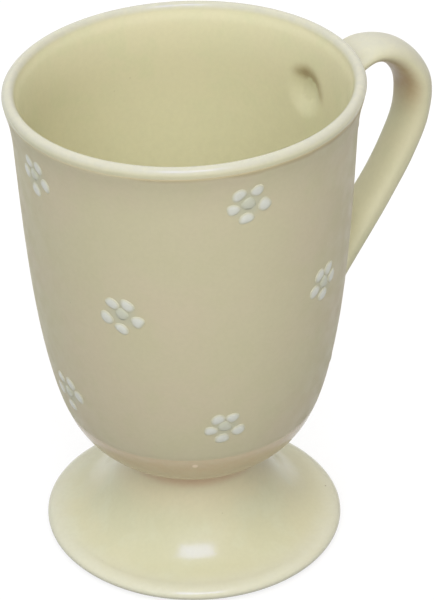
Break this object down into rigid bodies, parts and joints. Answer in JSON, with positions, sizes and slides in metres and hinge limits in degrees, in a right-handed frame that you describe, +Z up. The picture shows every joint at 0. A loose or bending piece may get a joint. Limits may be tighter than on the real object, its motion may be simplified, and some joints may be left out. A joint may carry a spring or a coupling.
{
  "type": "footed mug",
  "caption": "Tall rounded drinking mug on a flared hollow foot, with a rolled lip, a strap handle, a slip coat and raised slip flowers.",
  "frame": {"origin": "middle of the whole mug's footprint, handle included, on the table; the mug's own axis stands 13.41 mm towards -X from it", "axes": "+X towards the handle, +Z up along the mug's axis, +Y across"},
  "size_m": [0.1164, 0.0896, 0.132],
  "materials": {
    "cream_glaze": "glossy cream glaze",
    "beige_slip": "beige slip under a clear glaze",
    "white_slip": "raised off-white slip under a clear glaze",
    "grey_slip": "raised grey-green slip under a clear glaze"
  },
  "bodies": {
    "root": {"bowl": "cream_glaze", "slip_coat": "beige_slip", "foot": "cream_glaze", "handle": "cream_glaze", "flower_1_petals": "white_slip", "flower_1_centre": "grey_slip", "flower_2_petals": "white_slip", "flower_2_centre": "grey_slip", "flower_3_petals": "white_slip", "flower_3_centre": "grey_slip", "flower_4_petals": "white_slip", "flower_4_centre": "grey_slip", "flower_5_petals": "white_slip", "flower_5_centre": "grey_slip", "flower_6_petals": "white_slip", "flower_6_centre": "grey_slip", "flower_7_petals": "white_slip", "flower_7_centre": "grey_slip", "flower_8_petals": "white_slip", "flower_8_centre": "grey_slip", "flower_9_petals": "white_slip", "flower_9_centre": "grey_slip", "flower_10_petals": "white_slip", "flower_10_centre": "grey_slip", "flower_11_petals": "white_slip", "flower_11_centre": "grey_slip", "flower_12_petals": "white_slip", "flower_12_centre": "grey_slip", "flower_13_petals": "white_slip", "flower_13_centre": "grey_slip", "flower_14_petals": "white_slip", "flower_14_centre": "grey_slip"}
  },
  "joints": []
}
